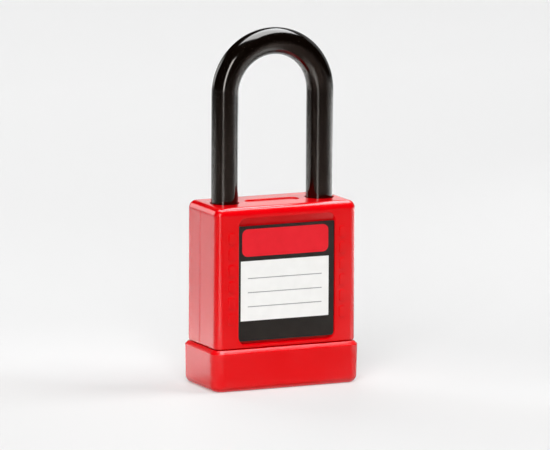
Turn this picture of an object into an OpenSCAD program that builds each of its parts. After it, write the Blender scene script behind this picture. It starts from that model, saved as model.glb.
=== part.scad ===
// Keyed safety padlock: a moulded housing and base cap round a metal lock body, a jacketed steel
// shackle held by two balls, and a six-pin plug that turns the driver between the balls.
// Millimetres. The origin is under the middle of the base, +Z is up, and the label faces -Y.

/* [Housing] */
// Width of the housing, across the two legs
body_w = 40; // [39:0.5:46]
// Depth of the housing, front to back
body_d = 19.2; // [18.4:0.2:24]
// Height of the housing's top face above the surface that the lock stands on
body_top = 48; // [46:0.5:56]
// Thickness of the housing's side walls
wall = 2.1; // [1.8:0.1:2.4]
// Thickness of the housing's top wall
top_wall = 3; // [2.4:0.1:4]
// Radius of the housing's outer edges
edge_r = 2.1; // [1.4:0.1:2.8]
// Radius of the inner corners of the housing
cavity_r = 1.2; // [0.6:0.1:2]
// How far the skirt that enters the cap is set back from the housing's face
skirt_step = 1; // [0.7:0.1:1.2]
// Shadow gap between the housing and the cap
joint_gap = 0.15; // [0.1:0.05:0.4]

/* [Label] */
// Width of the label recess
recess_w = 27.3; // [20:0.1:30]
// Depth of the label recess
recess_depth = 0.7; // [0.4:0.1:0.9]
// Height of the recess's lower edge above the cap
recess_low = 1; // [0.6:0.1:4]
// Distance from the recess's upper edge to the housing's top face
recess_high = 2.7; // [2.6:0.1:8]
// Height of the ramp at the top of the recess
ramp_top = 2.1; // [1:0.1:3]
// Height of the ramp at the bottom of the recess
ramp_low = 1; // [0.5:0.1:2]
// Corner radius of the recess
recess_r = 2.2; // [1.2:0.1:4]
// Thickness of the label card
label_t = 0.25; // [0.15:0.05:0.35]
// Corner radius of the label card
label_r = 0.3; // [0.2:0.1:1]
// Length of the shallow oval seat on the housing's top face
seat_l = 15; // [8:0.5:16]
// Width of the oval seat
seat_w = 4; // [3:0.5:8]
// Depth of the oval seat
seat_depth = 0.3; // [0.2:0.05:0.6]

/* [Base cap] */
// Height of the cap
cap_h = 11; // [9:0.5:14]
// How far the cap stands proud of the housing all round
cap_lip = 0.95; // [0.6:0.05:1.2]
// Size of the chamfer round the cap's upper rim
cap_chamfer = 0.7; // [0.4:0.1:0.8]
// Radius of the cap's lower edges
cap_edge_r = 1.8; // [1:0.1:2.4]
// How much each side of the cap leans in towards the bottom
cap_draft = 0.2; // [0:0.05:0.5]
// Thickness of the cap's floor
cap_floor = 2.4; // [2:0.1:3]
// Diameter of the key opening in the cap's floor
key_opening_d = 9.6; // [8.6:0.1:10]
// Width of each snap barb on the housing's skirt
barb_w = 5; // [3:0.5:8]
// Height of each snap barb
barb_h = 2; // [1.4:0.1:2.6]
// How far a snap barb stands out
barb_out = 0.6; // [0.4:0.05:0.7]
// Distance between the two barbs on a face
barb_pitch = 18; // [12:0.5:22]

/* [Shackle] */
// Distance from the housing's side to the axis of the leg near it
leg_inset = 6.5; // [6.2:0.1:6.8]
// Outside diameter of the jacketed shackle
shackle_d = 7; // [6.6:0.1:7.2]
// Wall thickness of the jacket
jacket_t = 0.75; // [0.6:0.05:0.95]
// Clear height under the bow
clear_h = 38.1; // [25.4:0.1:76.2]
// Diameter of the bare steel leg ends
leg_d = 6.4; // [6.2:0.1:6.6]
// How far the jacket enters the housing
jacket_in = 2; // [1:0.1:2.3]
// Rise of the shackle from locked to open
lift = 13; // [12.6:0.1:14]
// Insertion of the toe leg below the housing's top face
toe_in = 12.4; // [12:0.1:12.5]
// Chamfer on the leg ends
leg_chamfer = 0.8; // [0.4:0.1:1]
// Diameter of the heel leg's neck
neck_d = 4; // [3.6:0.1:4.6]
// Length of the full-diameter heel foot under the neck
foot_l = 2.4; // [1.6:0.1:3]
// Diameter of the heel retaining pin
heel_pin_d = 2.4; // [2:0.1:2.6]

/* [Plug and balls] */
// Diameter of the plug and of the driver
plug_d = 11.1; // [10.6:0.1:11.4]
// How far each ball bites into its leg when locked
ball_bite = 1.3; // [1.1:0.05:1.5]
// How far each ball is drawn in when the plug has turned a quarter turn
ball_draw = 3.9; // [3.6:0.1:4.1]
// Metal left above the balls' channel
ball_roof = 1.1; // [0.9:0.1:1.6]
// Metal left above the driver's pockets
driver_head = 0.3; // [0.2:0.05:0.4]
// Metal left under the driver's pockets
driver_web = 1; // [0.6:0.1:1.4]
// Width of the tongue between driver and plug
tongue_w = 3; // [2:0.1:4]
// Height of the tongue
tongue_h = 1.6; // [1:0.1:2]
// Width of the keyway
keyway_w = 2.2; // [1.8:0.1:2.6]
// Depth of the keyway across the plug
keyway_d = 7.4; // [6.8:0.1:7.8]
// How far the plug's nose stays above the base
nose_up = 0.6; // [0.4:0.1:1.4]

/* [Pins] */
// Distance between pin chambers along the plug
pin_pitch = 4.2; // [3.9:0.1:4.3]
// Height of the lowest pin chamber above the cap's floor
pin_first = 6; // [5:0.1:6.5]
// Diameter of the pins
pin_d = 2.8; // [2.4:0.1:2.9]
// Length of a driver pin
driver_pin_l = 4.4; // [3.6:0.1:4.8]
// Length of a chamber plug
chamber_plug_l = 2.2; // [1.6:0.1:2.8]
// Diameter of a chamber plug
chamber_plug_d = 3.4; // [3.2:0.1:3.6]
// Wire of the pin springs
pin_wire = 0.36; // [0.3:0.02:0.4]
// Turns of a pin spring
pin_turns = 4.5; // [3.5:0.5:5]

/* [Shackle spring] */
// Wire of the shackle spring
spring_wire = 0.8; // [0.6:0.05:0.9]
// Turns of the shackle spring
spring_turns = 7; // [5:0.5:8]
// Height of the spring's seat above the cap's floor
spring_seat = 2.6; // [2:0.1:4]

/* [Fits] */
// Running clearance round turning and sliding pieces
run_gap = 0.05; // [0.03:0.01:0.08]
// Clearance of fixed pieces that are pressed or moulded together
press_gap = 0.02; // [0.01:0.01:0.04]
// Clearance of parts that drop into each other
slip_gap = 0.1; // [0.08:0.02:0.2]
// Clearance of a ball in its notch and pocket
ball_gap = 0.1; // [0.06:0.01:0.14]
// Clearance of a ball on the ramp under its notch
ramp_gap = 0.06; // [0.04:0.01:0.1]
// Clearance between the heel pin and the ends of the neck
neck_gap = 0.2; // [0.1:0.05:0.4]
// Gap round a leg in the housing's top wall
hole_gap = 0.25; // [0.15:0.05:0.35]

/* [Hidden] */
$fn = 64;
HULL_FN = 32;
EPS = 0.01;

// How far a cut runs past the face that it opens
OVER = 1;
PIN_COUNT = 6;

// Depth code of the key, in steps from the plug's axis, and the size of one step
KEY_CODE = [2, 5, 1, 4, 2, 3];
code_step = 0.45;
code_base = 0.5;

// Levels above the surface that the lock stands on
seam_z = cap_h + joint_gap;
cavity_top = body_top - top_wall;
jacket_end = body_top - jacket_in;
leg_x = body_w / 2 - leg_inset;
leg_r = leg_d / 2;
core_r = shackle_d / 2 - jacket_t - run_gap;
bow_z = body_top + clear_h + shackle_d / 2 - leg_x;

// Cavity of the housing and the block that fills it
cavity_w = body_w - 2 * wall;
cavity_d = body_d - 2 * wall;
block_w = cavity_w - 2 * slip_gap;
block_d = cavity_d - 2 * slip_gap;
skirt_w = body_w - 2 * skirt_step;
skirt_d = body_d - 2 * skirt_step;
skirt_r = edge_r - skirt_step > 0.3 ? edge_r - skirt_step : 0.3;

// Balls: they fill the space between the driver and the notches in the legs
plug_r = plug_d / 2;
ball_r = (leg_x - leg_r + ball_bite - plug_r - run_gap) / 2;
ball_x = leg_x - leg_r + ball_bite - ball_r;
ball_z = cavity_top - ball_roof - ball_r;
ramp_angle = atan(ball_draw / lift);
pocket_r = ball_r + ball_gap;
POCKET_STEPS = 9;

// Plug and driver
bore_r = plug_r + run_gap;
driver_low = ball_z - pocket_r - driver_web;
driver_top = ball_z + pocket_r + driver_head;
bore_top = driver_top + slip_gap;
plug_low = cap_floor + slip_gap;
plug_top = driver_low - slip_gap;
nose_r = key_opening_d / 2 - slip_gap;

// Pin chambers run from the plug towards the toe side
chamber_r = pin_d / 2 + run_gap;
pin_out = bore_r + driver_pin_l;
chamber_end = block_w / 2 - chamber_plug_l;
keyway_top = cap_floor + pin_first + PIN_COUNT * pin_pitch - pin_pitch / 2;

// Heel leg: the neck rides past the retaining pin
neck_top = ball_z - ball_bite / tan(ramp_angle) - leg_chamfer;
heel_pin_z = neck_top - heel_pin_d / 2 - neck_gap;
neck_low = heel_pin_z - heel_pin_d / 2 - neck_gap - lift;
heel_end = neck_low - foot_l;
heel_pin_x = leg_x - neck_d / 2 - heel_pin_d / 2 - slip_gap;
toe_end = body_top - toe_in;
seat_z = cap_floor + spring_seat;
spring_r = leg_r - spring_wire / 2 - slip_gap;

// Label recess
recess_z0 = seam_z + recess_low;
recess_z1 = body_top - recess_high;
label_w = recess_w - 2 * slip_gap;
label_z0 = recess_z0 + ramp_low + slip_gap;
label_z1 = recess_z1 - ramp_top - slip_gap;

PIN_NAMES = ["key_pin_", "driver_pin_", "pin_spring_", "chamber_plug_"];

function pin_z(i) = cap_floor + pin_first + (i - 1) * pin_pitch;
function key_pin_tip(i) = code_base + KEY_CODE[i - 1] * code_step;

// Points of a coil: rings round the wire, square to the helix, and the wire's end held off by a share
// of its diameter
RINGS = 8;
SIDES = 6;
COIL_END = 0.55;
function helix_at(k, r, pitch) = [r * cos(k * 360 / RINGS), r * sin(k * 360 / RINGS), k * pitch / RINGS];
function helix_ring(k, r, pitch, wire) =
    let (turn = k * 360 / RINGS, rise = atan2(pitch, 2 * PI * r))
    let (out = [cos(turn), sin(turn), 0])
    let (up = [sin(turn) * sin(rise), -cos(turn) * sin(rise), cos(rise)])
    [for (s = [0:SIDES - 1])
        helix_at(k, r, pitch) + wire / 2 * (cos(s * 360 / SIDES) * out + sin(s * 360 / SIDES) * up)];
function helix_gap(r, pitch, wire, rings) =
    min([for (a = [0:rings - RINGS]) for (b = [a + RINGS / 2:min(a + 2 * RINGS, rings)])
        norm(helix_at(a, r, pitch) - helix_at(b, r, pitch))]) - wire;

// One unbroken wire wound into a coil of the given outside length, standing on z = 0
module coil(r, wire, length, turns) {
    rings = floor(turns * RINGS);
    pitch = (length - 2 * COIL_END * wire) / rings * RINGS;
    points = [for (k = [0:rings]) each helix_ring(k, r, pitch, wire)];
    sides = [for (k = [0:rings - 1]) for (s = [0:SIDES - 1])
        let (a = k * SIDES + s, b = k * SIDES + (s + 1) % SIDES)
        each [[a, a + SIDES, b], [b, a + SIDES, b + SIDES]]];
    start = [for (s = [1:SIDES - 2]) [0, s, s + 1]];
    last = rings * SIDES;
    end = [for (s = [1:SIDES - 2]) [last, last + s + 1, last + s]];
    echo(least_gap = helix_gap(r, pitch, wire, rings));
    translate([0, 0, COIL_END * wire]) polyhedron(points, concat(start, sides, end));
}

// Rectangle with round corners, centred
module round_rect(w, h, r) {
    square([w - 2 * r, h], center = true);
    square([w, h - 2 * r], center = true);
    for (x = [-1, 1], y = [-1, 1]) translate([x * (w / 2 - r), y * (h / 2 - r)]) circle(r);
}

// Four copies at the corners of a rectangle
module at_corners(w, d) {
    for (x = [-1, 1], y = [-1, 1]) translate([x * w / 2, y * d / 2, 0]) children();
}

// Bar between two heights
module upright(r, low, high) {
    translate([0, 0, low]) cylinder(r = r, h = high - low);
}

// Bar along X between two places
module bar_x(r, from, to, z) {
    translate([from, 0, z]) rotate([0, 90, 0]) cylinder(r = r, h = to - from);
}

// Pocket for a label, cut into the front face: ramps above and below, straight sides
module label_recess() {
    face = body_d / 2;
    intersection() {
        translate([0, -face + recess_depth, (recess_z0 + recess_z1) / 2]) rotate([90, 0, 0])
            linear_extrude(recess_depth + OVER) round_rect(recess_w, recess_z1 - recess_z0, recess_r);
        rotate([90, 0, 90]) linear_extrude(recess_w + OVER, center = true)
            polygon([
                [-face - OVER, recess_z0 - OVER * ramp_low / recess_depth],
                [-face + recess_depth, recess_z0 + ramp_low],
                [-face + recess_depth, recess_z1 - ramp_top],
                [-face - OVER, recess_z1 + OVER * ramp_top / recess_depth]]);
    }
}

// Wedge-shaped snap barb on the skirt, or its pocket in the cap when room is given
module barb(room) {
    z = (cap_floor + cap_h) / 2;
    h = barb_h + 2 * room;
    out = barb_out + room;
    rotate([90, 0, 90]) linear_extrude(barb_w + 2 * room, center = true)
        polygon([
            [-skirt_d / 2 + 2 * EPS, z + h / 2],
            [-skirt_d / 2 - out, z + h / 2],
            [-skirt_d / 2 - out, z + h / 4],
            [-skirt_d / 2 + 2 * EPS, z - h / 2]]);
}

module barbs(room) {
    for (turn = [0, 180], side = [-1, 1])
        rotate([0, 0, turn]) translate([side * barb_pitch / 2, 0, 0]) barb(room);
}

module housing_form() {
    hull() {
        at_corners(body_w - 2 * edge_r, body_d - 2 * edge_r) {
            translate([0, 0, seam_z]) cylinder(r = edge_r, h = edge_r, $fn = HULL_FN);
            translate([0, 0, body_top - edge_r]) sphere(r = edge_r, $fn = HULL_FN);
            translate([0, 0, body_top - EPS]) cylinder(r = EPS, h = EPS, $fn = HULL_FN);
        }
    }
    translate([0, 0, cap_floor]) linear_extrude(seam_z - cap_floor + edge_r)
        round_rect(skirt_w, skirt_d, skirt_r);
    barbs(0);
}

// Moulded shell, open below, with a label recess on each face
module housing() {
    color("firebrick") difference() {
        housing_form();
        translate([0, 0, cap_floor - OVER]) linear_extrude(cavity_top - cap_floor + OVER)
            round_rect(cavity_w, cavity_d, cavity_r);
        for (x = [-leg_x, leg_x]) translate([x, 0, 0])
            upright(shackle_d / 2 + hole_gap, cavity_top - OVER, body_top + OVER);
        for (turn = [0, 180]) rotate([0, 0, turn]) label_recess();
        translate([0, 0, body_top - seat_depth]) linear_extrude(OVER)
            round_rect(seat_l, seat_w, seat_w / 2 - EPS);
    }
}

module cap_form() {
    corner_r = edge_r + cap_lip;
    outer_w = body_w + 2 * cap_lip - 2 * corner_r;
    outer_d = body_d + 2 * cap_lip - 2 * corner_r;
    lower = 2 * (corner_r - cap_draft - cap_edge_r);
    hull() {
        at_corners(outer_w + lower, outer_d + lower) {
            cylinder(r = EPS, h = EPS, $fn = HULL_FN);
            translate([0, 0, cap_edge_r]) sphere(r = cap_edge_r, $fn = HULL_FN);
        }
        at_corners(outer_w, outer_d)
            translate([0, 0, cap_h - cap_chamfer - EPS]) cylinder(r = corner_r, h = EPS, $fn = HULL_FN);
        at_corners(outer_w, outer_d)
            translate([0, 0, cap_h - EPS]) cylinder(r = corner_r - cap_chamfer, h = EPS, $fn = HULL_FN);
    }
}

// Moulded cap with a socket for the housing's skirt and an opening for the key
module base_cap() {
    color("brown") difference() {
        cap_form();
        translate([0, 0, cap_floor]) linear_extrude(cap_h)
            round_rect(skirt_w + 2 * slip_gap, skirt_d + 2 * slip_gap, skirt_r + slip_gap);
        upright(key_opening_d / 2, -OVER, cap_floor + OVER);
        barbs(slip_gap);
    }
}

module label_card() {
    color("white")
        translate([0, -body_d / 2 + recess_depth, (label_z0 + label_z1) / 2]) rotate([90, 0, 0])
            linear_extrude(label_t) round_rect(label_w, label_z1 - label_z0, label_r);
}

// Half ring that joins the two legs, with the given section
module bow() {
    translate([0, 0, bow_z]) rotate([90, 0, 0]) rotate_extrude(angle = 180)
        translate([leg_x, 0]) children();
}

// Notch that the ball of one leg rests in and slides out of, towards the lock's axis
module ball_notch() {
    translate([ball_x, 0, ball_z]) {
        sphere(r = ball_r + ball_gap);
        rotate([0, ramp_angle, 0]) translate([0, 0, -lift])
            cylinder(r = ball_r + ramp_gap, h = lift);
    }
}

// Steel rod: thin under the jacket, full size at the leg ends, notched for the balls
module shackle_core() {
    color("silver") difference() {
        union() {
            bow() circle(core_r);
            for (x = [-leg_x, leg_x]) translate([x, 0, 0]) upright(core_r, jacket_end, bow_z);
            translate([leg_x, 0, 0]) {
                upright(leg_r, toe_end + leg_chamfer, jacket_end);
                translate([0, 0, toe_end]) cylinder(r1 = leg_r - leg_chamfer, r2 = leg_r, h = leg_chamfer);
            }
            translate([-leg_x, 0, 0]) {
                upright(leg_r, neck_top, jacket_end);
                upright(neck_d / 2, neck_low, neck_top);
                upright(leg_r, heel_end + leg_chamfer, neck_low);
                translate([0, 0, heel_end]) cylinder(r1 = leg_r - leg_chamfer, r2 = leg_r, h = leg_chamfer);
            }
        }
        ball_notch();
        mirror([1, 0, 0]) ball_notch();
    }
}

// Moulded jacket over the bow and both legs, seated on the shoulders of the steel legs
module shackle_jacket() {
    color("dimgray") {
        bow() jacket_section();
        for (x = [-leg_x, leg_x]) translate([x, 0, jacket_end])
            linear_extrude(bow_z - jacket_end) jacket_section();
    }
}

module jacket_section() {
    difference() {
        circle(shackle_d / 2);
        circle(core_r + run_gap);
    }
}

// Metal block inside the housing, bored for the legs, the balls, the plug and the pins
module lock_body() {
    color("goldenrod") difference() {
        translate([0, 0, cap_floor]) linear_extrude(cavity_top - cap_floor)
            round_rect(block_w, block_d, cavity_r - slip_gap);
        upright(bore_r, cap_floor - OVER, bore_top);
        translate([leg_x, 0, 0]) upright(leg_r + run_gap, toe_end - slip_gap, cavity_top + OVER);
        translate([-leg_x, 0, 0]) upright(leg_r + run_gap, seat_z, cavity_top + OVER);
        bar_x(ball_r + run_gap, -leg_x, leg_x, ball_z);
        for (i = [1:PIN_COUNT]) {
            bar_x(chamber_r, 0, block_w / 2, pin_z(i));
            bar_x(chamber_plug_d / 2 + press_gap, chamber_end, block_w / 2 + OVER, pin_z(i));
        }
        heel_pin_bar(heel_pin_d / 2 + press_gap, block_d + OVER);
    }
}

module heel_pin_bar(r, length) {
    translate([-heel_pin_x, 0, heel_pin_z]) rotate([90, 0, 0]) cylinder(r = r, h = length, center = true);
}

module heel_pin() {
    color("lightgray") heel_pin_bar(heel_pin_d / 2, block_d);
}

// Stepped slot for the key's blade
module keyway() {
    ward = keyway_w / 4;
    linear_extrude(keyway_top) {
        translate([keyway_d / 4, ward / 2]) square([keyway_d / 2, keyway_w - ward], center = true);
        translate([-keyway_d / 4, -ward / 2]) square([keyway_d / 2 + EPS, keyway_w - ward], center = true);
    }
}

// Turning cylinder: nose in the cap's opening, keyway, pin holes and the slot for the driver
module plug() {
    color("gold") difference() {
        union() {
            upright(plug_r, plug_low, plug_top);
            upright(nose_r, nose_up, plug_low + EPS);
        }
        keyway();
        for (i = [1:PIN_COUNT]) bar_x(chamber_r, 0, plug_r + OVER, pin_z(i));
        translate([0, 0, plug_top]) cube([plug_d + OVER, tongue_w + 2 * slip_gap, 2 * tongue_h], center = true);
    }
}

// Section of the driver at the balls: each pocket follows its ball's path as the turning driver sees it,
// drawn in over a quarter turn
module driver_section() {
    difference() {
        circle(plug_r);
        for (half = [0, 180], step = [1:POCKET_STEPS]) {
            share = step / POCKET_STEPS;
            rotate(half - 90 * share) translate([ball_x - ball_draw * share, 0]) circle(pocket_r);
        }
    }
}

// Turning head with two scooped pockets that let the balls in
module driver() {
    color("darkkhaki") {
        upright(plug_r, driver_low, ball_z - pocket_r);
        translate([0, 0, ball_z - pocket_r]) linear_extrude(2 * pocket_r) driver_section();
        upright(plug_r, ball_z + pocket_r, driver_top);
        intersection() {
            upright(plug_r - slip_gap, driver_low - tongue_h + 2 * slip_gap, driver_low + EPS);
            translate([0, 0, driver_low]) cube([plug_d, tongue_w, 2 * tongue_h], center = true);
        }
    }
}

module ball(side) {
    color("gainsboro") translate([side * ball_x, 0, ball_z]) sphere(r = ball_r);
}

// Key pin from the key's cut to the edge of the plug
module key_pin(i) {
    color("peru") intersection() {
        bar_x(pin_d / 2, key_pin_tip(i), bore_r, pin_z(i));
        upright(plug_r, pin_z(i) - pin_d, pin_z(i) + pin_d);
    }
}

module driver_pin(i) {
    color("silver") bar_x(pin_d / 2, bore_r, pin_out, pin_z(i));
}

module pin_spring(i) {
    color("lightsteelblue") translate([pin_out + press_gap, 0, pin_z(i)]) rotate([0, 90, 0])
        coil(pin_d / 2 - pin_wire / 2 - slip_gap, pin_wire, chamber_end - pin_out - 2 * press_gap, pin_turns);
}

module chamber_plug(i) {
    color("darkgoldenrod") bar_x(chamber_plug_d / 2, chamber_end, block_w / 2, pin_z(i));
}

module shackle_spring() {
    color("lightsteelblue") translate([-leg_x, 0, seat_z + press_gap])
        coil(spring_r, spring_wire, heel_end - seat_z - 2 * press_gap, spring_turns);
}

housing();
base_cap();
label_card();
shackle_core();
shackle_jacket();
lock_body();
plug();
driver();
ball(1);  // toe_ball
ball(-1);  // heel_ball
shackle_spring();
heel_pin();
for (i = [1:PIN_COUNT]) {
    key_pin(i);
    driver_pin(i);
    pin_spring(i);
    chamber_plug(i);
}
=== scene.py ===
import math

import bmesh
import bpy
from mathutils import Matrix, Vector


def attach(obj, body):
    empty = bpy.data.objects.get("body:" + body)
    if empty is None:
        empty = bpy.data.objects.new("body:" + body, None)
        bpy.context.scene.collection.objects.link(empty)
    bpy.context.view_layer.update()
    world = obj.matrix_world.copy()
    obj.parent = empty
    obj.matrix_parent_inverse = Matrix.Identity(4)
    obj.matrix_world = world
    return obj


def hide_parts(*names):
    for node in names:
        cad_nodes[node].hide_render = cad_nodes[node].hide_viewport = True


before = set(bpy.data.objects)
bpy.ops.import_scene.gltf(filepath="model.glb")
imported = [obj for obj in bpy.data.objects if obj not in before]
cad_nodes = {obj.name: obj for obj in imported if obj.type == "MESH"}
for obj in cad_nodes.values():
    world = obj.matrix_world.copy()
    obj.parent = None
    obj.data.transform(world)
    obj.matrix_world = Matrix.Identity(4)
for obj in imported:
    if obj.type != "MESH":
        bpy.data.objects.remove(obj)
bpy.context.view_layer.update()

# Lock body: a block of brass, sawn from drawn bar, milled flat and bored from three sides.
# It slides into the housing from below and holds the plug, the pins, the balls and both legs.
MM = 0.001
BRASS_LIGHT = (0.74, 0.53, 0.22, 1)
BRASS_DARK = (0.55, 0.37, 0.13, 1)
STAIN_SIZE = (6, 6, 6)


def start_finish(name):
    """A new finish: its material, node tree, surface shader and place on the piece in millimetres."""
    finish = bpy.data.materials.new(name)
    finish.use_nodes = True
    tree = finish.node_tree
    shader = tree.nodes["Principled BSDF"]
    coords = tree.nodes.new("ShaderNodeTexCoord")
    millimetres = tree.nodes.new("ShaderNodeMapping")
    millimetres.inputs["Scale"].default_value = (1 / MM, 1 / MM, 1 / MM)
    tree.links.new(coords.outputs["Object"], millimetres.inputs["Vector"])
    return finish, tree, shader, millimetres.outputs["Vector"]


def mottle(tree, place, size, detail=3.0, roughness=0.5):
    """A cloudy pattern with features of the given size along x, y and z, in millimetres."""
    squeeze = tree.nodes.new("ShaderNodeMapping")
    squeeze.inputs["Scale"].default_value = [1 / s for s in size]
    cloud = tree.nodes.new("ShaderNodeTexNoise")
    cloud.inputs["Scale"].default_value = 1.0
    cloud.inputs["Detail"].default_value = detail
    cloud.inputs["Roughness"].default_value = roughness
    tree.links.new(place, squeeze.inputs["Vector"])
    tree.links.new(squeeze.outputs["Vector"], cloud.inputs["Vector"])
    return cloud.outputs["Fac"]


def between(tree, pattern, low, high, start=0.3, stop=0.7):
    """The pattern as a number that runs from low to high."""
    span = tree.nodes.new("ShaderNodeMapRange")
    span.inputs["From Min"].default_value = start
    span.inputs["From Max"].default_value = stop
    span.inputs["To Min"].default_value = low
    span.inputs["To Max"].default_value = high
    tree.links.new(pattern, span.inputs["Value"])
    return span.outputs["Result"]


def shade(tree, pattern, dark, light, start=0.3, stop=0.7):
    """The pattern as a colour that runs from dark to light."""
    ramp = tree.nodes.new("ShaderNodeValToRGB")
    ramp.color_ramp.elements[0].position = start
    ramp.color_ramp.elements[0].color = dark
    ramp.color_ramp.elements[1].position = stop
    ramp.color_ramp.elements[1].color = light
    tree.links.new(pattern, ramp.inputs["Fac"])
    return ramp.outputs["Color"]


def relief(tree, shader, pattern, height, below=None):
    """Fine relief of the given height in millimetres, on top of another relief where one is given."""
    bump = tree.nodes.new("ShaderNodeBump")
    bump.inputs["Strength"].default_value = 1.0
    bump.inputs["Distance"].default_value = height * MM
    tree.links.new(pattern, bump.inputs["Height"])
    if below is not None:
        tree.links.new(below, bump.inputs["Normal"])
    tree.links.new(bump.outputs["Normal"], shader.inputs["Normal"])
    return bump.outputs["Normal"]


def worked_metal(name, dark, light, grain, height, shiny=0.2, dull=0.38):
    """Bare metal with tool marks that run along the longest side of the grain."""
    finish, tree, shader, place = start_finish(name)
    marks = mottle(tree, place, grain, detail=4)
    stains = mottle(tree, place, STAIN_SIZE, detail=5, roughness=0.6)
    tree.links.new(shade(tree, stains, dark, light), shader.inputs["Base Color"])
    tree.links.new(between(tree, marks, shiny, dull), shader.inputs["Roughness"])
    shader.inputs["Metallic"].default_value = 1.0
    relief(tree, shader, marks, height)
    return finish


def dress(names, finish):
    """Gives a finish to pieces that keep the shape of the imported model."""
    for name in names:
        cad_nodes[name].data.materials.clear()
        cad_nodes[name].data.materials.append(finish)


milled_brass = worked_metal("milled_brass", BRASS_DARK, BRASS_LIGHT, grain=(0.12, 4, 0.12), height=0.01)
dress(["lock_body"], milled_brass)

# Heel pin: a ground steel dowel, pressed across the block beside the heel leg, so that the leg's foot
# can't pass it and the open shackle stays in the lock.
STEEL_LIGHT = (0.70, 0.71, 0.73, 1)
STEEL_DARK = (0.52, 0.53, 0.55, 1)
ground_steel = worked_metal("ground_steel", STEEL_DARK, STEEL_LIGHT, grain=(0.05, 0.05, 0.6), height=0.002,
                            shiny=0.08, dull=0.2)
dress(["heel_pin"], ground_steel)

# Plug and driver: turned from brass rod. The plug is cut for the key and six pins, and its tongue slot
# turns the driver, whose two scooped pockets let the balls in.
turned_brass = worked_metal("turned_brass", (0.60, 0.42, 0.15, 1), (0.80, 0.60, 0.27, 1),
                            grain=(3, 3, 0.08), height=0.006, shiny=0.16, dull=0.32)
dress(["plug", "driver"], turned_brass)

# Pins: six stacks of a brass key pin, a steel driver pin and a spring, each closed by a brass plug that
# is pressed into the side of the block.
PIN_COUNT = 6
stacks = range(1, PIN_COUNT + 1)
pin_brass = worked_metal("pin_brass", (0.58, 0.40, 0.14, 1), (0.82, 0.62, 0.29, 1),
                         grain=(0.08, 1.5, 1.5), height=0.004, shiny=0.14, dull=0.3)
pin_steel = worked_metal("pin_steel", STEEL_DARK, STEEL_LIGHT, grain=(0.06, 1.5, 1.5), height=0.003,
                         shiny=0.12, dull=0.26)
dress([f"key_pin_{i}" for i in stacks] + [f"chamber_plug_{i}" for i in stacks], pin_brass)
dress([f"driver_pin_{i}" for i in stacks], pin_steel)

# Springs: cold wound from drawn steel wire. The large one stands under the heel leg and lifts the shackle.
# The six small ones push the pins into the plug.
drawn_wire = worked_metal("drawn_wire", (0.34, 0.34, 0.35, 1), (0.58, 0.58, 0.60, 1),
                          grain=(0.3, 0.3, 0.1), height=0.002, shiny=0.18, dull=0.36)
dress(["shackle_spring"] + [f"pin_spring_{i}" for i in stacks], drawn_wire)

# Balls: hardened and polished steel, one at each leg. They lie in a cross bore over the plug, and hold the
# legs by their notches.
polished_steel = worked_metal("polished_steel", (0.66, 0.67, 0.69, 1), (0.80, 0.81, 0.83, 1),
                              grain=(0.4, 0.4, 0.4), height=0.001, shiny=0.04, dull=0.12)
dress(["toe_ball", "heel_ball"], polished_steel)

# Housing: one moulding in red nylon, open below, with rounded edges, a sunk field for the label on both
# faces, and a thin line down each side where the mould closed. Its stepped skirt snaps into the cap.
HOUSING_LOW = 11.15 * MM
HOUSING_TOP = 48 * MM
HOUSING_W = 40 * MM
HOUSING_D = 19.2 * MM
EDGE_R = 2.1 * MM
SKIRT_STEP = 1.0 * MM
SKIRT_LOW = 2.4 * MM
SKIRT_WALL = 1.0 * MM
CAVITY_TOP = 45 * MM
RECESS_W = 27.3 * MM
RECESS_DEPTH = 0.7 * MM
RECESS_LOW = 12.15 * MM
RECESS_TOP = 45.3 * MM
RECESS_R = 2.2 * MM
RAMP_LOW = 0.12 * MM
RAMP_TOP = 2.1 * MM
LOWER_GROOVE = 1.4 * MM
UPPER_GROOVE = 0.95 * MM
GROOVE_EDGES = (13.2 * MM, 42.9 * MM)
LEG_X = 13.5 * MM
LEG_HOLE_R = 3.75 * MM
SEAT_L = 15 * MM
SEAT_W = 4 * MM
SEAT_DEPTH = 0.3 * MM
SOFT_EDGE = 0.22 * MM
LOWER_EDGE = 0.45 * MM
ROOM = 2 * MM
ROD_SIDES = 64
HALF_SIDE = math.pi / ROD_SIDES
FINE = 0.0001 * MM
EDGE_STEPS = 8
SOFT_STEPS = 2
LOWER_STEPS = 4
RIM_ANGLE = math.radians(12)
PARTING_Y = 0.84 * MM
PARTING_W = 0.2 * MM
PAD_W = 1.8 * MM
PAD_H = 3.0 * MM
PAD_RISE = 0.3 * MM
PAD_ROOT = 0.6 * MM
PAD_CORNER = 0.54 * MM
PAD_CORNER_STEPS = 5
PAD_EDGE = 0.15 * MM
PAD_PITCH = 4.2 * MM
PAD_TOP = 40.1 * MM
PAD_X = 15.75 * MM
PAD_COUNT = 6
scene = bpy.context.scene


def leave_edit():
    """Leaves edit mode with nothing selected."""
    if bpy.context.object and bpy.context.object.mode != "OBJECT":
        bpy.ops.object.mode_set(mode="OBJECT")
    bpy.ops.object.select_all(action="DESELECT")


def open_edit():
    """Puts a new piece's size and place into its mesh, and opens it for editing with nothing selected."""
    bpy.ops.object.transform_apply(location=True, rotation=True, scale=True)
    bpy.ops.object.mode_set(mode="EDIT")
    bpy.ops.mesh.select_all(action="DESELECT")


def start_block(name, low, high):
    """A new block between two corners, open for editing."""
    leave_edit()
    low, high = Vector(low), Vector(high)
    bpy.ops.mesh.primitive_cube_add(size=1, location=(low + high) / 2)
    piece = bpy.context.object
    piece.name = name
    piece.scale = high - low
    open_edit()
    return piece


def start_rod(name, radius, low, high, place=(0, 0), sides=ROD_SIDES):
    """A new upright rod, open for editing."""
    leave_edit()
    bpy.ops.mesh.primitive_cylinder_add(vertices=sides, radius=radius, depth=high - low,
                                        location=(*place, (low + high) / 2))
    piece = bpy.context.object
    piece.name = name
    open_edit()
    return piece


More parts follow.
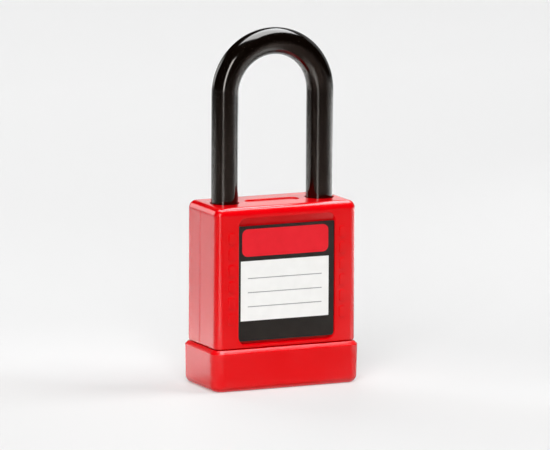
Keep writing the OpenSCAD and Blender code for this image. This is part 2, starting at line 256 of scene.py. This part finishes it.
def pick(piece, kind, test):
    """Selects the faces, edges or corners of a piece in edit mode that pass a test."""
    bpy.ops.mesh.select_mode(type={"faces": "FACE", "edges": "EDGE", "verts": "VERT"}[kind])
    bpy.ops.mesh.select_all(action="DESELECT")
    mesh = bmesh.from_edit_mesh(piece.data)
    mesh.normal_update()
    for part in getattr(mesh, kind):
        if test(part):
            part.select_set(True)
    mesh.select_flush_mode()
    bmesh.update_edit_mesh(piece.data)


def near(a, b, slack=0.004 * MM):
    """True for two lengths that are the same but for a small slack."""
    return abs(a - b) < slack


def runs_along(edge, axis):
    """True for an edge that lies along the given axis."""
    line = edge.verts[1].co - edge.verts[0].co
    return all(near(line[k], 0) for k in range(3) if k != axis)


def lies_at(part, axis, level):
    """True for an edge or a face with all its corners at one level of an axis."""
    return all(near(v.co[axis], level) for v in part.verts)


def close_edit(piece):
    """Leaves edit mode with the piece selected alone."""
    leave_edit()
    bpy.context.view_layer.objects.active = piece
    piece.select_set(True)


def cut(piece, tools, operation="DIFFERENCE", finish="INDEX"):
    """Cuts tools out of a piece, or melts them on, and removes them. TRANSFER keeps their own finish."""
    close_edit(tools[0])
    for tool in tools:
        tool.select_set(True)
    if len(tools) > 1:
        bpy.ops.object.join()
    tool = bpy.context.object
    close_edit(piece)
    change = piece.modifiers.new("cut", "BOOLEAN")
    change.operation = operation
    change.solver = "EXACT"
    change.material_mode = finish
    change.object = tool
    bpy.ops.object.modifier_apply(modifier=change.name)
    bpy.data.objects.remove(tool)


def smooth(piece, angle=30):
    """Smooth shading that keeps flat faces flat."""
    close_edit(piece)
    bpy.ops.object.shade_smooth_by_angle(angle=math.radians(angle))
    change = piece.modifiers.new("even_shading", "WEIGHTED_NORMAL")
    change.keep_sharp = True
    change.weight = 100
    bpy.ops.object.modifier_apply(modifier=change.name)


def label_field(front, lower_depth, upper_depth):
    """A cutter for the sunk label field on the front (-1) or the rear (1) face. Where an end is deeper than
    the field, a groove is left along that edge of the card."""
    outer = front * (HOUSING_D / 2 + ROOM)
    floor = front * (HOUSING_D / 2 - RECESS_DEPTH)
    field = start_block("label_field", (-RECESS_W / 2, min(outer, floor), RECESS_LOW),
                        (RECESS_W / 2, max(outer, floor), RECESS_TOP))
    pick(field, "edges", lambda e: runs_along(e, 1))
    bpy.ops.mesh.bevel(offset=RECESS_R, segments=EDGE_STEPS, affect="EDGES")
    for up, level, ramp, depth, edge in ((-1, RECESS_LOW, RAMP_LOW, lower_depth, GROOVE_EDGES[0]),
                                         (1, RECESS_TOP, RAMP_TOP, upper_depth, GROOVE_EDGES[1])):
        if depth > RECESS_DEPTH:
            bpy.ops.mesh.select_all(action="SELECT")
            bpy.ops.mesh.bisect(plane_co=(0, 0, edge), plane_no=(0, 0, 1), threshold=FINE)
            pick(field, "faces",
                 lambda f: lies_at(f, 1, floor) and up * (f.calc_center_median().z - edge) > 0)
            inward = (0, front * (RECESS_DEPTH - depth), 0)
            bpy.ops.mesh.extrude_region_move(TRANSFORM_OT_translate={"value": inward})
        bpy.ops.mesh.select_all(action="SELECT")
        bpy.ops.mesh.bisect(plane_co=(0, front * HOUSING_D / 2, level),
                            plane_no=(0, -front * ramp, up * depth),
                            use_fill=True, clear_outer=True, threshold=FINE)
    return field


housing = start_block("housing_shell", (-HOUSING_W / 2, -HOUSING_D / 2, HOUSING_LOW),
                      (HOUSING_W / 2, HOUSING_D / 2, HOUSING_TOP))
pick(housing, "edges", lambda e: runs_along(e, 2) or lies_at(e, 2, HOUSING_TOP))
bpy.ops.mesh.bevel(offset=EDGE_R, segments=EDGE_STEPS, affect="EDGES")
pick(housing, "edges", lambda e: lies_at(e, 2, HOUSING_LOW))
bpy.ops.mesh.bevel(offset=LOWER_EDGE, segments=LOWER_STEPS, affect="EDGES")
pick(housing, "faces", lambda f: lies_at(f, 2, HOUSING_LOW))
bpy.ops.mesh.inset(thickness=SKIRT_STEP - LOWER_EDGE)
bpy.ops.mesh.extrude_region_move(TRANSFORM_OT_translate={"value": (0, 0, SKIRT_LOW - HOUSING_LOW)})
bpy.ops.mesh.inset(thickness=SKIRT_WALL)
bpy.ops.mesh.extrude_region_move(TRANSFORM_OT_translate={"value": (0, 0, CAVITY_TOP - SKIRT_LOW)})

seat = start_rod("seat", SEAT_W / 2, HOUSING_TOP - SEAT_DEPTH, HOUSING_TOP + ROOM)
bpy.ops.mesh.select_all(action="SELECT")
bpy.ops.transform.rotate(value=HALF_SIDE, orient_axis="Z", center_override=(0, 0, 0))
for side in (-1, 1):
    pick(seat, "verts", lambda v: side * v.co.x > 0)
    bpy.ops.transform.translate(value=(side * (SEAT_L - SEAT_W) / 2, 0, 0))
leg_holes = [start_rod("leg_hole", LEG_HOLE_R, CAVITY_TOP - ROOM, HOUSING_TOP + ROOM, (x, 0))
             for x in (-LEG_X, LEG_X)]
fields = [label_field(-1, LOWER_GROOVE, UPPER_GROOVE), label_field(1, RECESS_DEPTH, RECESS_DEPTH)]
cut(housing, [seat] + leg_holes + fields)


def on_rim(edge):
    """True for an edge round a label field, a leg hole or the seat, where it meets the outer face."""
    sunk = edge.calc_face_angle(0) > RIM_ANGLE
    middle = (edge.verts[0].co + edge.verts[1].co) / 2
    in_field = abs(middle.x) < RECESS_W / 2 + FINE and RECESS_LOW - FINE < middle.z < RECESS_TOP + FINE
    on_face = in_field and any(lies_at(edge, 1, y) for y in (-HOUSING_D / 2, HOUSING_D / 2))
    on_top = abs(middle.y) < LEG_HOLE_R + FINE and lies_at(edge, 2, HOUSING_TOP)
    return sunk and (on_face or on_top)


close_edit(housing)
bpy.ops.object.mode_set(mode="EDIT")
bpy.ops.mesh.select_all(action="SELECT")
bpy.ops.mesh.remove_doubles(threshold=FINE)
pick(housing, "edges", on_rim)
bpy.ops.mesh.bevel(offset=SOFT_EDGE, segments=SOFT_STEPS, affect="EDGES", clamp_overlap=False)

partings = []
for side in (-1, 1):
    line = start_block("parting_line", (-PARTING_W / 2, -PARTING_W / 2, SKIRT_LOW),
                       (PARTING_W / 2, PARTING_W / 2, HOUSING_TOP))
    bpy.ops.mesh.select_all(action="SELECT")
    bpy.ops.transform.rotate(value=math.radians(45), orient_axis="Z", center_override=(0, 0, 0))
    bpy.ops.transform.translate(value=(side * HOUSING_W / 2, PARTING_Y, 0))
    partings.append(line)
cut(housing, partings)

pad = start_block("grip_pad", (-PAD_W / 2, -HOUSING_D / 2 - PAD_RISE, -PAD_H / 2),
                  (PAD_W / 2, -HOUSING_D / 2 + PAD_ROOT, PAD_H / 2))
pick(pad, "edges", lambda e: runs_along(e, 1))
bpy.ops.mesh.bevel(offset=PAD_CORNER, segments=PAD_CORNER_STEPS, affect="EDGES")
pick(pad, "edges", lambda e: lies_at(e, 1, -HOUSING_D / 2 - PAD_RISE))
bpy.ops.mesh.bevel(offset=PAD_EDGE, segments=SOFT_STEPS, affect="EDGES")
close_edit(pad)
pads = []
for side in (-1, 1):
    for row in range(PAD_COUNT):
        mark = pad.copy()
        mark.data = pad.data.copy()
        scene.collection.objects.link(mark)
        mark.data.transform(Matrix.Translation((side * PAD_X, 0, PAD_TOP - row * PAD_PITCH)))
        pads.append(mark)
bpy.data.objects.remove(pad)
cut(housing, pads, "UNION")
smooth(housing)


def moulded_nylon(name, dark, light):
    """Coloured nylon as it leaves a fine eroded mould: even, semi-gloss, with a slight waviness."""
    finish, tree, shader, place = start_finish(name)
    clouds = mottle(tree, place, size=(9, 9, 9), detail=4)
    grain = mottle(tree, place, size=(0.22, 0.22, 0.22), detail=2)
    waves = mottle(tree, place, size=(5, 5, 5), detail=1)
    tree.links.new(shade(tree, clouds, dark, light), shader.inputs["Base Color"])
    tree.links.new(between(tree, clouds, low=0.12, high=0.19), shader.inputs["Roughness"])
    shader.inputs["IOR"].default_value = 1.5
    under = relief(tree, shader, waves, height=0.008)
    relief(tree, shader, grain, height=0.005, below=under)
    return finish


red_nylon = moulded_nylon("red_nylon", (0.72, 0.0006, 0.003, 1), (0.76, 0.0008, 0.004, 1))
housing.data.materials.append(red_nylon)
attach(housing, "case")
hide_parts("housing")

# Label card: a plastic card in the front field, printed with a red heading bar, a white panel with ruled
# lines to write on, and a black ground. It is glued flat to the floor of the field.
CARD_BACK = -HOUSING_D / 2 + RECESS_DEPTH
CARD_T = 0.25 * MM
CARD_W = 27.1 * MM
CARD_LOW = 13.0 * MM
CARD_TOP = 43.1 * MM
CARD_UPPER_R = 0.3 * MM
CARD_LOWER_R = 0.7 * MM
BAR = (-12.6 * MM, 11.9 * MM, 35.1 * MM, 42.3 * MM)
PANEL = (-12.95 * MM, 12.05 * MM, 18.3 * MM, 33.95 * MM)
RULES = (22.0 * MM, 25.7 * MM, 29.4 * MM)
RULE_T = 0.22 * MM
RULE_INSET = 2.0 * MM
BAR_R = 1.6 * MM
CARD_STEPS = 5
INK_T = 0.02 * MM
INK_SPREAD = 0.05

card_front = CARD_BACK - CARD_T
card = start_block("label_print", (-CARD_W / 2, card_front, CARD_LOW), (CARD_W / 2, CARD_BACK, CARD_TOP))
for level, corner in ((CARD_LOW, CARD_LOWER_R), (CARD_TOP, CARD_UPPER_R)):
    pick(card, "edges", lambda e: runs_along(e, 1) and near(e.verts[0].co.z, level))
    bpy.ops.mesh.bevel(offset=corner, segments=CARD_STEPS, affect="EDGES")


def print_ink(name, dark, light, roughness):
    """Screen print under a satin film."""
    finish, tree, shader, place = start_finish(name)
    tone = mottle(tree, place, size=(3, 3, 3), detail=5)
    satin = mottle(tree, place, size=(0.35, 0.35, 0.35), detail=2)
    tree.links.new(shade(tree, tone, dark, light), shader.inputs["Base Color"])
    tree.links.new(between(tree, tone, roughness - INK_SPREAD, roughness + INK_SPREAD),
                   shader.inputs["Roughness"])
    shader.inputs["IOR"].default_value = 1.45
    relief(tree, shader, satin, height=0.004)
    return finish


def print_field(name, field, layer, ink, corner=0):
    """A printed field on the card, one or more layers of ink thick, with rounded corners where asked."""
    left, right, low, high = field
    patch = start_block(name, (left, card_front - layer * INK_T, low),
                        (right, CARD_BACK - CARD_T / 2, high))
    if corner:
        pick(patch, "edges", lambda e: runs_along(e, 1))
        bpy.ops.mesh.bevel(offset=corner, segments=EDGE_STEPS, affect="EDGES")
    patch.data.materials.append(ink)
    return patch


black_ink = print_ink("black_ink", (0.014, 0.012, 0.011, 1), (0.020, 0.018, 0.016, 1), roughness=0.38)
red_ink = print_ink("red_ink", (0.76, 0.010, 0.020, 1), (0.82, 0.014, 0.026, 1), roughness=0.34)
white_film = print_ink("white_film", (0.88, 0.88, 0.86, 1), (0.92, 0.92, 0.90, 1), roughness=0.36)
grey_ink = print_ink("grey_ink", (0.30, 0.30, 0.30, 1), (0.36, 0.36, 0.36, 1), roughness=0.40)
card.data.materials.append(black_ink)
rule_ends = (PANEL[0] + RULE_INSET, PANEL[1] - RULE_INSET)
rules = [print_field("rule", (*rule_ends, z - RULE_T / 2, z + RULE_T / 2), 2, grey_ink) for z in RULES]
fields = [print_field("heading", BAR, 1, red_ink, BAR_R), print_field("panel", PANEL, 1, white_film)]
cut(card, fields, "UNION", finish="TRANSFER")
cut(card, rules, "UNION", finish="TRANSFER")
close_edit(card)
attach(card, "case")
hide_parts("label_card")

# Base cap: a second moulding in the same nylon, pushed over the skirt until four barbs snap in. It stands a
# little proud of the housing all round, with a chamfered rim, and leaves a round opening for the key.
CAP_H = 11 * MM
CAP_W = 41.9 * MM
CAP_D = 21.1 * MM
CAP_CORNER = 3.05 * MM
CAP_DRAFT = 0.2 * MM
CAP_FOOT_R = 1.8 * MM
CAP_CHAMFER = 0.92 * MM
CAP_WALL = 1.85 * MM
CAP_FLOOR = 2.4 * MM
CAP_SOFT = 0.12 * MM
KEY_R = 4.8 * MM
KEY_LEAD = 0.4 * MM
FOOT_STEPS = 6

cap = start_block("base_cap_shell", (-CAP_W / 2, -CAP_D / 2, 0), (CAP_W / 2, CAP_D / 2, CAP_H))
pick(cap, "edges", lambda e: runs_along(e, 2))
bpy.ops.mesh.bevel(offset=CAP_CORNER, segments=EDGE_STEPS, affect="EDGES")
pick(cap, "faces", lambda f: lies_at(f, 2, 0))
bpy.ops.transform.resize(value=(1 - 2 * CAP_DRAFT / CAP_W, 1 - 2 * CAP_DRAFT / CAP_D, 1),
                         center_override=(0, 0, 0))
pick(cap, "edges", lambda e: lies_at(e, 2, 0))
bpy.ops.mesh.bevel(offset=CAP_FOOT_R, segments=FOOT_STEPS, affect="EDGES")
pick(cap, "edges", lambda e: lies_at(e, 2, CAP_H))
bpy.ops.mesh.bevel(offset=CAP_CHAMFER, segments=1, affect="EDGES")
pick(cap, "edges", lambda e: lies_at(e, 2, CAP_H) or lies_at(e, 2, CAP_H - CAP_CHAMFER))
bpy.ops.mesh.bevel(offset=CAP_SOFT, segments=SOFT_STEPS, affect="EDGES", clamp_overlap=False)
pick(cap, "faces", lambda f: lies_at(f, 2, CAP_H))
bpy.ops.mesh.inset(thickness=CAP_WALL - CAP_CHAMFER - CAP_SOFT)
bpy.ops.mesh.extrude_region_move(TRANSFORM_OT_translate={"value": (0, 0, CAP_FLOOR - CAP_H)})
key_opening = start_rod("key_opening", KEY_R, KEY_LEAD, CAP_FLOOR + ROOM)
pick(key_opening, "faces", lambda f: lies_at(f, 2, KEY_LEAD))
bpy.ops.mesh.extrude_region_move(TRANSFORM_OT_translate={"value": (0, 0, -2 * KEY_LEAD)})
flare = 1 + 2 * KEY_LEAD / KEY_R
bpy.ops.transform.resize(value=(flare, flare, 1), center_override=(0, 0, 0))
cut(cap, [key_opening])
smooth(cap)
cap.data.materials.append(red_nylon)
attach(cap, "case")
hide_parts("base_cap")

# Shackle core: a round bar of hardened steel, bent to a U and zinc plated. The heel leg is the longer one,
# with a turned neck, and both legs have a ramped notch for their ball.
plated_steel = worked_metal("plated_steel", (0.50, 0.51, 0.52, 1), (0.66, 0.67, 0.68, 1),
                            grain=(0.5, 0.5, 5), height=0.003, shiny=0.2, dull=0.34)
dress(["shackle_core"], plated_steel)

# Shackle jacket: a tube of glossy black plastic, moulded over the bow and both legs down into the housing,
# so that no bare metal can be touched.
JACKET_R = 3.5 * MM
JACKET_BORE = 2.75 * MM
JACKET_LOW = 46 * MM
BOW_Z = 76.1 * MM
JACKET_SIDES = 48
BOW_STEPS = 64
SHARP_ANGLE = 40
JET_BLACK = (0.0024, 0.0011, 0.0006, 1)
DUST = (0.09, 0.08, 0.07, 1)
WARM_GLOSS = (1.0, 0.95, 0.90, 1)

jacket = start_rod("jacket_tube", JACKET_R, JACKET_LOW, BOW_Z, (LEG_X, 0), sides=JACKET_SIDES)
pick(jacket, "faces", lambda f: lies_at(f, 2, JACKET_LOW) or lies_at(f, 2, BOW_Z))
bpy.ops.mesh.inset(thickness=JACKET_R - JACKET_BORE, use_individual=True)
bpy.ops.mesh.bridge_edge_loops()
pick(jacket, "faces", lambda f: lies_at(f, 2, BOW_Z))
bpy.ops.mesh.spin(steps=BOW_STEPS, angle=math.pi, center=(0, 0, BOW_Z), axis=(0, 1, 0))
bpy.ops.mesh.extrude_region_move(TRANSFORM_OT_translate={"value": (0, 0, JACKET_LOW - BOW_Z)})
bpy.ops.mesh.select_all(action="SELECT")
bpy.ops.mesh.remove_doubles(threshold=FINE)
close_edit(jacket)
smooth(jacket, angle=SHARP_ANGLE)


def gloss_black(name):
    """Black plastic with a wiped gloss, a slight waviness from the mould, dull specks and a little dust."""
    finish, tree, shader, place = start_finish(name)
    waves = mottle(tree, place, size=(3.5, 3.5, 6), detail=1)
    specks = mottle(tree, place, size=(0.5, 0.5, 0.5), detail=2)
    dust = mottle(tree, place, size=(0.22, 0.22, 0.22), detail=1)
    tree.links.new(shade(tree, dust, JET_BLACK, DUST, start=0.70, stop=0.82), shader.inputs["Base Color"])
    tree.links.new(between(tree, specks, low=0.12, high=0.24, start=0.62, stop=0.8),
                   shader.inputs["Roughness"])
    shader.inputs["IOR"].default_value = 1.56
    shader.inputs["Specular Tint"].default_value = WARM_GLOSS
    relief(tree, shader, waves, height=0.02)
    return finish


jacket.data.materials.append(gloss_black("gloss_black"))
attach(jacket, "shackle")
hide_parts("shackle_jacket")

# Table: a wide sheet of cast white acrylic that the lock stands on, lit from below, a little more to the
# back than to the front. It is plain and pale, with a very faint reflection.
TABLE_SIZE = 8.0
TABLE_DARK = (0.47, 0.47, 0.47, 1)
TABLE_LIGHT = (0.48, 0.48, 0.48, 1)
TABLE_TONE = (400, 400, 400)
GLOW_FRONT, GLOW_BACK = 0.32, 0.43
GLOW_REACH = 500

leave_edit()
bpy.ops.mesh.primitive_plane_add(size=TABLE_SIZE, location=(0, 0, 0))
table = bpy.context.object
table.name = "table_top"
acrylic, tree, shader, place = start_finish("white_acrylic")
tone = mottle(tree, place, size=TABLE_TONE, detail=2)
tree.links.new(shade(tree, tone, TABLE_DARK, TABLE_LIGHT), shader.inputs["Base Color"])
shader.inputs["Roughness"].default_value = 0.06
shader.inputs["IOR"].default_value = 1.018
shader.inputs["Emission Color"].default_value = (1, 1, 1, 1)
sides = tree.nodes.new("ShaderNodeSeparateXYZ")
tree.links.new(place, sides.inputs["Vector"])
tree.links.new(between(tree, sides.outputs["Y"], GLOW_FRONT, GLOW_BACK, start=0, stop=GLOW_REACH),
               shader.inputs["Emission Strength"])
table.data.materials.append(acrylic)

# Studio light: glint boxes, which show only in glossy faces, and wash boxes, which light all faces but have
# no mirror image. Clear films just over the table, which no camera sees, paint what the lock mirrors of it:
# painted dark reflections round its front and left end, painted bright patches and a painted highlight
# streak. As painted shade, one film dims the light that it throws back up.
FILM_SIZE = 4.0
# Painted shade: a film that only diffuse rays see dims the light passing through it, least near a point
# just left of the lock.
PAINTED_SHADE_FILM = 0.6
BOUNCE_CENTRE = (-20, 0)
PAINTED_SHADE_NEAR, PAINTED_SHADE_FAR = 0.8, 0.42
BOUNCE_FROM, BOUNCE_TO = 20, 100
# Painted dark reflection: a tinted film that only glossy rays see darkens what the lock mirrors of the
# table to its front, its left and past its end.
PAINTED_DARK_FILM = 0.8
PAINTED_DARK_TINT = (0.36, 0.27, 0.23, 1)
FRONT_TURN, FRONT_FULL, FRONT_NONE = -30, 66, 88
FRONT_FAR = 0.84
FRONT_FROM, FRONT_TO = 250, 340
SIDE_TURN, SIDE_FULL, SIDE_NONE = -100, 34, 48
SIDE_CORNER = (-20.5, -10)
SIDE_FROM, SIDE_TO = 240, 300
END_TURN, END_FULL, END_NONE = -60, 85, 105
END_FROM, END_TO = 412, 470
END_PAINTED_DARK = 0.2
# Painted reflections: glowing films that only glossy rays see, which the lock mirrors as bright patches of
# the table.
PAINTED_GLOWS = (
    # name, height over the table, centre, where it is full and where it ends, all in mm, and brightness
    ("near_glow", 1.0, (-42, 45), 20, 70, 0.68),
    ("far_glow", 1.2, (-91, 153), 80, 200, 0.75),
    ("left_glow", 2.2, (-310, 175), 60, 170, 0.4),
    ("right_glow", 1.6, (330, 80), 120, 260, 2.1),
    ("arch_glow", 2.0, (66, -48), 8, 38, 1.4),
    ("front_glow", 1.8, (115, -120), 40, 76, 0.6),
)
# Painted highlight: a glowing streak on a film that only glossy rays see, which the shackle mirrors as a
# thin bright line of the key light.
STREAK_FILM = 1.4
STREAK_TURN = -38
STREAK_HALF = 60
STREAK_LENGTH = 600
# how far out from the lock in mm, and the share of the streak's brightness there
STREAK_STEPS = ((30, 0.0), (120, 0.3), (330, 0.3), (450, 0.08), (500, 0.5))
STREAK = 10.0
MIDDLE = Vector((0, 0, 0.05))
OVERHEAD = Vector((0.40, 0.25, 1.25))
UNDER_IT = Vector((0.40, 0.251, 0))
COOL = (0.93, 0.96, 1.0)


def around(turn, rise, far):
    """A place round the lock: degrees from the front to the right, degrees up, and metres away."""
    turn, rise = math.radians(turn), math.radians(rise)
    return Vector((far * math.sin(turn) * math.cos(rise), -far * math.cos(turn) * math.cos(rise),
                   far * math.sin(rise)))


def soft_box(name, size, place, aim, radiance, roll=0):
    """A soft sheet of light that faces a point. Its brightness is that of its face."""
    lamp = bpy.data.lights.new(name, "AREA")
    lamp.shape = "RECTANGLE"
    lamp.size, lamp.size_y = size
    lamp.energy = radiance * math.pi * size[0] * size[1]
    box = bpy.data.objects.new(name, lamp)
    scene.collection.objects.link(box)
    facing = (aim - place).to_track_quat("-Z", "Y").to_matrix().to_4x4()
    box.matrix_world = Matrix.Translation(place) @ facing @ Matrix.Rotation(math.radians(roll), 4, "Z")
    box.visible_camera = False
    return box


def film(name, height, seen_by="glossy"):
    """A clear film so many millimetres over the table, seen by one kind of ray alone. Gives its node tree,
    its clear shader and its place in millimetres."""
    leave_edit()
    bpy.ops.mesh.primitive_plane_add(size=FILM_SIZE, location=(0, 0, height * MM))
    sheet = bpy.context.object
    sheet.name = name
    bpy.ops.object.transform_apply(location=True, rotation=True, scale=True)
    for ray in ("camera", "diffuse", "glossy", "transmission", "shadow"):
        setattr(sheet, "visible_" + ray, ray == seen_by)
    finish, tree, shader, place = start_finish(name)
    tree.nodes.remove(shader)
    clear = tree.nodes.new("ShaderNodeBsdfTransparent")
    tree.links.new(clear.outputs["BSDF"], tree.nodes["Material Output"].inputs["Surface"])
    sheet.data.materials.append(finish)
    return tree, clear, place


def measure(tree, place, operation, point):
    """The distance to a point, or along a direction, in millimetres."""
    ruler = tree.nodes.new("ShaderNodeVectorMath")
    ruler.operation = operation
    ruler.inputs[1].default_value = point
    tree.links.new(place, ruler.inputs[0])
    return ruler.outputs["Value"]


def combine(tree, one, other, operation="MULTIPLY"):
    """Two patterns made into one."""
    joint = tree.nodes.new("ShaderNodeMath")
    joint.operation = operation
    tree.links.new(one, joint.inputs[0])
    tree.links.new(other, joint.inputs[1])
    return joint.outputs["Value"]


def bearing(tree, place, turn, full, none, start=(0, 0, 0)):
    """A pattern that is 1 within so many degrees of a bearing from a point, and 0 further round."""
    apart = tree.nodes.new("ShaderNodeVectorMath")
    apart.operation = "SUBTRACT"
    apart.inputs[1].default_value = start
    outward = tree.nodes.new("ShaderNodeVectorMath")
    outward.operation = "NORMALIZE"
    tree.links.new(place, apart.inputs[0])
    tree.links.new(apart.outputs["Vector"], outward.inputs[0])
    ahead = measure(tree, outward.outputs["Vector"], "DOT_PRODUCT", around(turn, 0, 1))
    return between(tree, ahead, 0.0, 1.0, math.cos(math.radians(none)), math.cos(math.radians(full)))


glints = [
    soft_box("overhead_glint", (1.5, 1.05), OVERHEAD, UNDER_IT, radiance=8.8, roll=30),
    soft_box("key_glint", (0.24, 0.95), around(-38, 19.5, 1.4), MIDDLE, radiance=10.4),
    soft_box("right_glint", (1.0, 0.8), around(118, 20, 1.4), MIDDLE, radiance=0.45),
    soft_box("back_glint", (0.55, 0.6), around(155, 13.6, 1.5), MIDDLE, radiance=1.0),
    soft_box("left_glint", (0.55, 0.6), around(-155, 13.6, 1.5), MIDDLE, radiance=2.6),
]
glints[0].data.color = COOL
for box in glints:
    box.visible_diffuse = False
washes = [
    soft_box("front_wash", (0.8, 0.7), around(-29, 44, 1.4), MIDDLE, radiance=10.9),
    soft_box("right_wash", (0.8, 0.7), around(70, 49, 1.4), MIDDLE, radiance=6.7),
    soft_box("left_wash", (0.7, 0.5), around(-70, 21, 1.4), MIDDLE, radiance=3.3),
    soft_box("back_wash", (1.0, 0.8), around(180, 41, 1.4), MIDDLE, radiance=3.5),
]
for box in washes:
    box.visible_glossy = False

# Painted shade: the film lets less diffuse light through further from the lock than near it.
tree, clear, place = film("painted_shade_film", PAINTED_SHADE_FILM, seen_by="diffuse")
reach = measure(tree, place, "DISTANCE", (*BOUNCE_CENTRE, PAINTED_SHADE_FILM))
tree.links.new(between(tree, reach, PAINTED_SHADE_NEAR, PAINTED_SHADE_FAR, start=BOUNCE_FROM, stop=BOUNCE_TO),
               clear.inputs["Color"])

# Painted dark reflection: the film darkens the mirrored table in three bearings round the lock.
tree, clear, place = film("painted_dark_reflection_film", PAINTED_DARK_FILM)
reach = measure(tree, place, "DISTANCE", (0, 0, PAINTED_DARK_FILM))
front = combine(tree, bearing(tree, place, FRONT_TURN, FRONT_FULL, FRONT_NONE),
                between(tree, reach, 1.0, FRONT_FAR, start=FRONT_FROM, stop=FRONT_TO))
side = combine(tree, bearing(tree, place, SIDE_TURN, SIDE_FULL, SIDE_NONE, (*SIDE_CORNER, PAINTED_DARK_FILM)),
               between(tree, reach, 1.0, 0.0, start=SIDE_FROM, stop=SIDE_TO))
end = combine(tree, bearing(tree, place, END_TURN, END_FULL, END_NONE),
              between(tree, reach, 0.0, 1.0, start=END_FROM, stop=END_TO))
painted_dimming = shade(tree, combine(tree, front, side, "MAXIMUM"), (1, 1, 1, 1), PAINTED_DARK_TINT, start=0.0, stop=1.0)
ended = tree.nodes.new("ShaderNodeVectorMath")
ended.operation = "SCALE"
tree.links.new(painted_dimming, ended.inputs[0])
tree.links.new(between(tree, end, 1.0, END_PAINTED_DARK, start=0.0, stop=1.0), ended.inputs["Scale"])
tree.links.new(ended.outputs["Vector"], clear.inputs["Color"])


def light_up(tree, clear, strength):
    """Makes a film glow with the given pattern, on top of what is seen through it, as a painted reflection.
    """
    lit = tree.nodes.new("ShaderNodeEmission")
    tree.links.new(strength, lit.inputs["Strength"])
    both = tree.nodes.new("ShaderNodeAddShader")
    tree.links.new(clear.outputs["BSDF"], both.inputs[0])
    tree.links.new(lit.outputs["Emission"], both.inputs[1])
    tree.links.new(both.outputs["Shader"], tree.nodes["Material Output"].inputs["Surface"])


# Each painted reflection glows brightest round its centre and fades outward.
for name, height, centre, inner, outer, glow in PAINTED_GLOWS:
    tree, clear, place = film(name, height)
    reach = measure(tree, place, "DISTANCE", (*centre, height))
    light_up(tree, clear, between(tree, reach, glow, 0.0, start=inner, stop=outer))

# Painted highlight: the streak runs out from the lock along the key light's bearing.
tree, clear, place = film("painted_key_highlight", STREAK_FILM)
across = tree.nodes.new("ShaderNodeMath")
across.operation = "ABSOLUTE"
tree.links.new(measure(tree, place, "DOT_PRODUCT", around(STREAK_TURN + 90, 0, 1)), across.inputs[0])
ahead = measure(tree, place, "DOT_PRODUCT", around(STREAK_TURN, 0, 1))
along = between(tree, ahead, 0.0, 1.0, start=0, stop=STREAK_LENGTH)
run = tree.nodes.new("ShaderNodeValToRGB")
steps = run.color_ramp.elements
while len(steps) < len(STREAK_STEPS):
    steps.new(1.0)
for step, (far, level) in zip(steps, STREAK_STEPS):
    step.position = far / STREAK_LENGTH
    step.color = (level, level, level, 1)
tree.links.new(along, run.inputs["Fac"])
width = between(tree, across.outputs["Value"], STREAK, 0.0, start=0, stop=STREAK_HALF)
light_up(tree, clear, combine(tree, width, run.outputs["Color"]))

world = bpy.data.worlds.new("studio")
world.use_nodes = True
world.node_tree.nodes["Background"].inputs["Color"].default_value = (1, 1, 1, 1)
world.node_tree.nodes["Background"].inputs["Strength"].default_value = 0.0
scene.world = world
scene.view_settings.view_transform = "Standard"

# Camera: a long lens on a stand, a little above the lock and to its left, as far away as the picture's
# straight lines ask. It is turned, tipped and rolled as the picture is.
FRAME_W = 550
FOCAL_PX = 6939.8
SENSOR = 36.0
VIEW_TURN = math.radians(-24.82)
VIEW_RISE = math.radians(9.50)
VIEW_ROLL = math.radians(0.32)
VIEW_FAR = 1.8
AIM = Vector((0.906 * MM, 0, 41.236 * MM))

back = Vector((math.sin(VIEW_TURN) * math.cos(VIEW_RISE), -math.cos(VIEW_TURN) * math.cos(VIEW_RISE),
               math.sin(VIEW_RISE)))
right = Vector((math.cos(VIEW_TURN), math.sin(VIEW_TURN), 0))
up = back.cross(right)
rolled_right = math.cos(VIEW_ROLL) * right + math.sin(VIEW_ROLL) * up
rolled_up = math.cos(VIEW_ROLL) * up - math.sin(VIEW_ROLL) * right
view = bpy.data.cameras.new("camera")
view.sensor_fit = "HORIZONTAL"
view.sensor_width = SENSOR
view.lens = FOCAL_PX / FRAME_W * SENSOR
camera = bpy.data.objects.new("camera", view)
scene.collection.objects.link(camera)
turn = Matrix((rolled_right, rolled_up, back)).transposed().to_4x4()
camera.matrix_world = Matrix.Translation(AIM + VIEW_FAR * back) @ turn
scene.camera = camera
